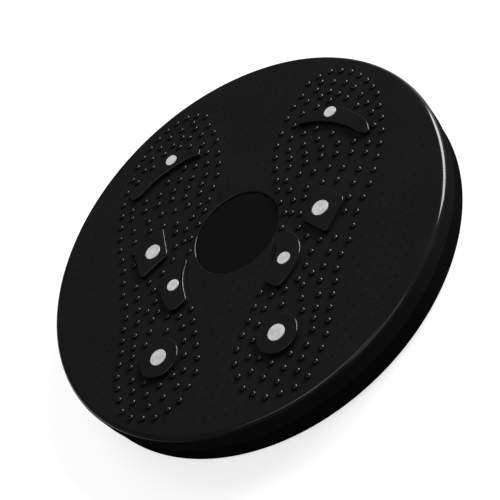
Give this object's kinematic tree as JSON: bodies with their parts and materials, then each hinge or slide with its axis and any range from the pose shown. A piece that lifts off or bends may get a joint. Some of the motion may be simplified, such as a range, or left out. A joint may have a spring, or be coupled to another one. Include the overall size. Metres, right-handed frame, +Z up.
{
  "type": "waist twisting disc",
  "caption": "Round waist twisting disc: a moulded platform with massage footprints and magnets turning over a base plate on caged balls, held by a central bolt.",
  "frame": {"origin": "on the floor under the turning axis, at the centre of the rubber feet's contact plane", "axes": "+Z up along the turning axis, +Y towards the toes of the footprints, +X towards the right footprint"},
  "size_m": [0.28, 0.28, 0.0323],
  "materials": {
    "top_moulding": "black moulded plastic, satin, with a fine spark texture",
    "base_moulding": "black moulded plastic, satin",
    "centre_insert": "black, smooth matte",
    "magnet": "nickel plated, satin",
    "steel": "zinc plated or polished steel",
    "nylon": "natural nylon",
    "foot_rubber": "black, matte"
  },
  "bodies": {
    "base": {"base_plate": "base_moulding", "pivot_bolt": "steel", "head_washer": "steel", "thrust_washer": "nylon", "base_washer": "steel", "lock_nut": "steel", "rubber_foot_1": "foot_rubber", "rubber_foot_2": "foot_rubber", "rubber_foot_3": "foot_rubber", "rubber_foot_4": "foot_rubber", "rubber_foot_5": "foot_rubber", "rubber_foot_6": "foot_rubber"},
    "platform": {"top_plate": "top_moulding", "centre_cap": "centre_insert", "pivot_bush": "nylon", "magnet_toe_right": "magnet", "magnet_ball_right": "magnet", "magnet_arch_right": "magnet", "magnet_heel_right": "magnet", "magnet_toe_left": "magnet", "magnet_ball_left": "magnet", "magnet_arch_left": "magnet", "magnet_heel_left": "magnet"},
    "cage": {"ball_cage": "nylon"},
    "ball_1": {"steel_ball_1": "steel"},
    "ball_2": {"steel_ball_2": "steel"},
    "ball_3": {"steel_ball_3": "steel"},
    "ball_4": {"steel_ball_4": "steel"},
    "ball_5": {"steel_ball_5": "steel"},
    "ball_6": {"steel_ball_6": "steel"},
    "ball_7": {"steel_ball_7": "steel"},
    "ball_8": {"steel_ball_8": "steel"},
    "ball_9": {"steel_ball_9": "steel"},
    "ball_10": {"steel_ball_10": "steel"},
    "ball_11": {"steel_ball_11": "steel"},
    "ball_12": {"steel_ball_12": "steel"}
  },
  "joints": [
    {"name": "platform_twist", "type": "hinge", "parent": "base", "child": "platform", "pos_m": [0, 0, 0.0149], "axis": [0, 0, 1], "continuous": true},
    {"name": "cage_orbit", "type": "hinge", "parent": "base", "child": "cage", "pos_m": [0, 0, 0.01575], "axis": [0, 0, 1], "continuous": true},
    {"name": "ball_1_roll", "type": "hinge", "parent": "cage", "child": "ball_1", "pos_m": [0.088, 0, 0.01575], "axis": [1, 0, 0], "continuous": true},
    {"name": "ball_2_roll", "type": "hinge", "parent": "cage", "child": "ball_2", "pos_m": [0.07621, 0.044, 0.01575], "axis": [0.866, 0.5, 0], "continuous": true},
    {"name": "ball_3_roll", "type": "hinge", "parent": "cage", "child": "ball_3", "pos_m": [0.044, 0.07621, 0.01575], "axis": [0.5, 0.866, 0], "continuous": true},
    {"name": "ball_4_roll", "type": "hinge", "parent": "cage", "child": "ball_4", "pos_m": [0, 0.088, 0.01575], "axis": [0, 1, 0], "continuous": true},
    {"name": "ball_5_roll", "type": "hinge", "parent": "cage", "child": "ball_5", "pos_m": [-0.044, 0.07621, 0.01575], "axis": [-0.5, 0.866, 0], "continuous": true},
    {"name": "ball_6_roll", "type": "hinge", "parent": "cage", "child": "ball_6", "pos_m": [-0.07621, 0.044, 0.01575], "axis": [-0.866, 0.5, 0], "continuous": true},
    {"name": "ball_7_roll", "type": "hinge", "parent": "cage", "child": "ball_7", "pos_m": [-0.088, 0, 0.01575], "axis": [-1, 0, 0], "continuous": true},
    {"name": "ball_8_roll", "type": "hinge", "parent": "cage", "child": "ball_8", "pos_m": [-0.07621, -0.044, 0.01575], "axis": [-0.866, -0.5, 0], "continuous": true},
    {"name": "ball_9_roll", "type": "hinge", "parent": "cage", "child": "ball_9", "pos_m": [-0.044, -0.07621, 0.01575], "axis": [-0.5, -0.866, 0], "continuous": true},
    {"name": "ball_10_roll", "type": "hinge", "parent": "cage", "child": "ball_10", "pos_m": [0, -0.088, 0.01575], "axis": [0, -1, 0], "continuous": true},
    {"name": "ball_11_roll", "type": "hinge", "parent": "cage", "child": "ball_11", "pos_m": [0.044, -0.07621, 0.01575], "axis": [0.5, -0.866, 0], "continuous": true},
    {"name": "ball_12_roll", "type": "hinge", "parent": "cage", "child": "ball_12", "pos_m": [0.07621, -0.044, 0.01575], "axis": [0.866, -0.5, 0], "continuous": true}
  ],
  "couplings": [
    {"joint": "cage_orbit", "follows": "platform_twist", "ratio": 0.5},
    {"joint": "ball_1_roll", "follows": "platform_twist", "ratio": -9.2632},
    {"joint": "ball_2_roll", "follows": "platform_twist", "ratio": -9.2632},
    {"joint": "ball_3_roll", "follows": "platform_twist", "ratio": -9.2632},
    {"joint": "ball_4_roll", "follows": "platform_twist", "ratio": -9.2632},
    {"joint": "ball_5_roll", "follows": "platform_twist", "ratio": -9.2632},
    {"joint": "ball_6_roll", "follows": "platform_twist", "ratio": -9.2632},
    {"joint": "ball_7_roll", "follows": "platform_twist", "ratio": -9.2632},
    {"joint": "ball_8_roll", "follows": "platform_twist", "ratio": -9.2632},
    {"joint": "ball_9_roll", "follows": "platform_twist", "ratio": -9.2632},
    {"joint": "ball_10_roll", "follows": "platform_twist", "ratio": -9.2632},
    {"joint": "ball_11_roll", "follows": "platform_twist", "ratio": -9.2632},
    {"joint": "ball_12_roll", "follows": "platform_twist", "ratio": -9.2632}
  ]
}
